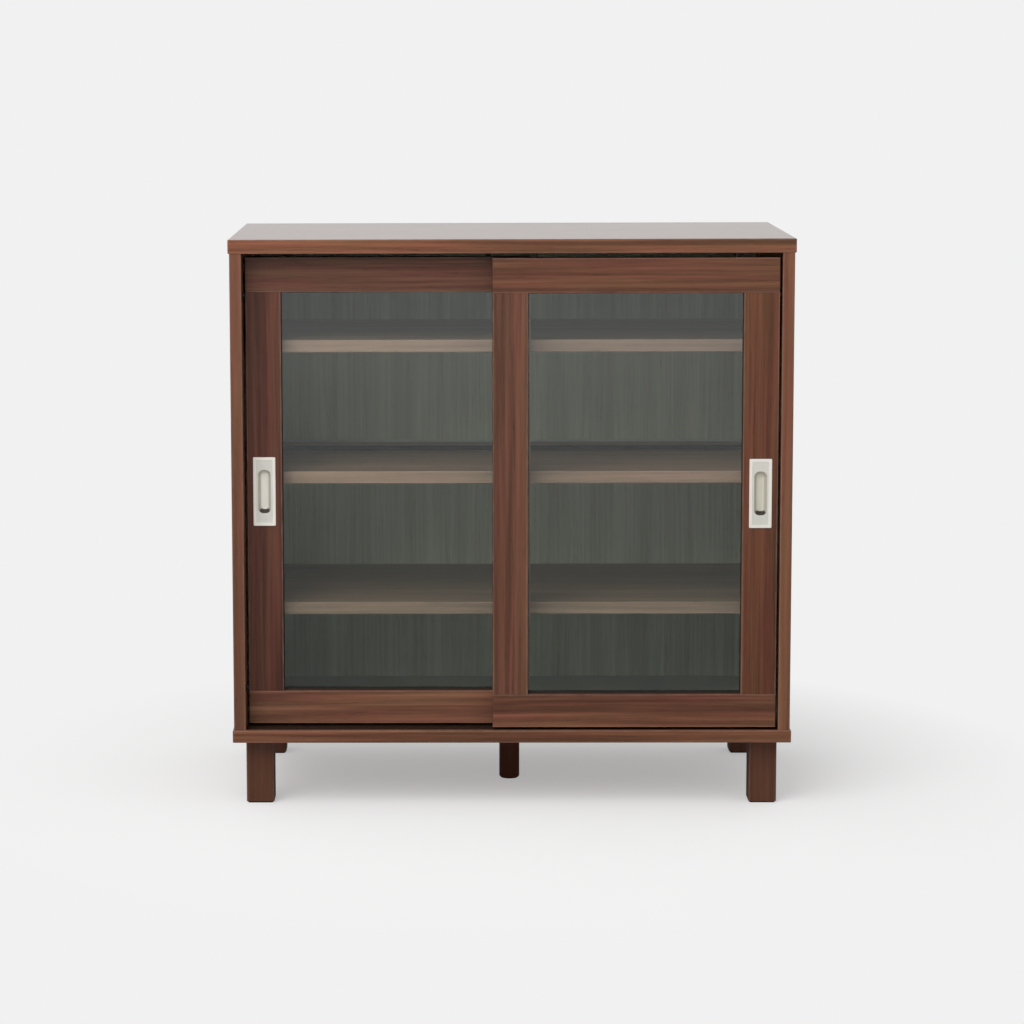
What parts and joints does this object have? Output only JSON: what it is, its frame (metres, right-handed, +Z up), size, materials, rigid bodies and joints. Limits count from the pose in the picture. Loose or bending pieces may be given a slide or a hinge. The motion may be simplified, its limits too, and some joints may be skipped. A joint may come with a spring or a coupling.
{
  "type": "mizuya kitchen cabinet",
  "caption": "Low wooden kitchen cabinet with two glazed doors that slide past each other, flush metal pulls, inner shelves and short legs.",
  "frame": {"origin": "on the floor, under the middle of the cabinet", "axes": "+X to the right seen from the front, +Y to the back, +Z up; the doors are on the -Y side, and both are shut at rest"},
  "size_m": [0.8, 0.4, 0.818],
  "materials": {
    "walnut_board": "walnut-faced board, satin lacquer",
    "walnut_frame": "walnut frame members, satin lacquer",
    "shelf_board": "walnut-faced board, satin lacquer",
    "back_board": "thin walnut-faced board, grain upright",
    "leg_wood": "dark stained solid wood, satin",
    "clear_glass": "clear float glass, polished",
    "black_rubber": "matt black",
    "satin_nickel": "satin nickel plate",
    "black_track": "matt dark extrusion",
    "brown_plastic": "matt extrusion in the colour of the back",
    "grey_nylon": "moulded, matt",
    "white_nylon": "moulded, smooth",
    "dowel_wood": "fluted beech, bare",
    "felt": "pressed brown felt",
    "cast_zinc": "die-cast zinc, bright",
    "brass_insert": "machined, bright",
    "zinc_steel": "zinc-plated steel"
  },
  "bodies": {
    "carcass": {"back_joint_strip": "brown_plastic", "back_panel_screws": "zinc_steel", "bottom_panel": "walnut_board", "bottom_track": "black_track", "cam_bolts": "zinc_steel", "cam_locks": "cast_zinc", "carcass_dowels": "dowel_wood", "centre_leg": "leg_wood", "fixed_shelf": "shelf_board", "foot_pads": "felt", "front_left_leg": "leg_wood", "front_right_leg": "leg_wood", "left_side_bumpers": "black_rubber", "left_side_panel": "walnut_board", "leg_bolts": "zinc_steel", "leg_inserts": "brass_insert", "lower_back_panel": "back_board", "lower_shelf": "shelf_board", "lower_shelf_pins": "zinc_steel", "plate_stop": "leg_wood", "rear_left_leg": "leg_wood", "rear_right_leg": "leg_wood", "right_side_bumpers": "black_rubber", "right_side_panel": "walnut_board", "top_panel": "walnut_board", "top_track": "black_track", "track_screws": "zinc_steel", "upper_back_panel": "back_board", "upper_shelf": "shelf_board", "upper_shelf_pins": "zinc_steel"},
    "left_door": {"left_door_bottom_rail": "walnut_frame", "left_door_frame_dowels": "dowel_wood", "left_door_glass": "clear_glass", "left_door_glazing_seal": "black_rubber", "left_door_inner_stile": "walnut_frame", "left_door_outer_stile": "walnut_frame", "left_door_pull": "satin_nickel", "left_door_roller_axles": "zinc_steel", "left_door_roller_cases": "grey_nylon", "left_door_top_guides": "grey_nylon", "left_door_top_rail": "walnut_frame"},
    "right_door": {"right_door_bottom_rail": "walnut_frame", "right_door_frame_dowels": "dowel_wood", "right_door_glass": "clear_glass", "right_door_glazing_seal": "black_rubber", "right_door_inner_stile": "walnut_frame", "right_door_outer_stile": "walnut_frame", "right_door_pull": "satin_nickel", "right_door_roller_axles": "zinc_steel", "right_door_roller_cases": "grey_nylon", "right_door_top_guides": "grey_nylon", "right_door_top_rail": "walnut_frame"},
    "left_outer_wheel": {"left_door_outer_wheel": "white_nylon"},
    "left_inner_wheel": {"left_door_inner_wheel": "white_nylon"},
    "right_outer_wheel": {"right_door_outer_wheel": "white_nylon"},
    "right_inner_wheel": {"right_door_inner_wheel": "white_nylon"}
  },
  "joints": [
    {"name": "left_door_slide", "type": "slide", "parent": "carcass", "child": "left_door", "axis": [1, 0, 0], "range_m": [0, 0.35]},
    {"name": "right_door_slide", "type": "slide", "parent": "carcass", "child": "right_door", "axis": [1, 0, 0], "range_m": [-0.35, 0]},
    {"name": "left_outer_wheel_spin", "type": "hinge", "parent": "left_door", "child": "left_outer_wheel", "pos_m": [-0.3175, -0.1575, 0.1201], "axis": [0, 1, 0], "continuous": true},
    {"name": "left_inner_wheel_spin", "type": "hinge", "parent": "left_door", "child": "left_inner_wheel", "pos_m": [-0.033, -0.1575, 0.1201], "axis": [0, 1, 0], "continuous": true},
    {"name": "right_outer_wheel_spin", "type": "hinge", "parent": "right_door", "child": "right_outer_wheel", "pos_m": [0.3175, -0.1845, 0.1201], "axis": [0, 1, 0], "continuous": true},
    {"name": "right_inner_wheel_spin", "type": "hinge", "parent": "right_door", "child": "right_inner_wheel", "pos_m": [0.033, -0.1845, 0.1201], "axis": [0, 1, 0], "continuous": true}
  ],
  "couplings": [
    {"joint": "left_outer_wheel_spin", "follows": "left_door_slide", "rad_per_m": 125},
    {"joint": "left_inner_wheel_spin", "follows": "left_door_slide", "rad_per_m": 125},
    {"joint": "right_outer_wheel_spin", "follows": "right_door_slide", "rad_per_m": 125},
    {"joint": "right_inner_wheel_spin", "follows": "right_door_slide", "rad_per_m": 125}
  ]
}
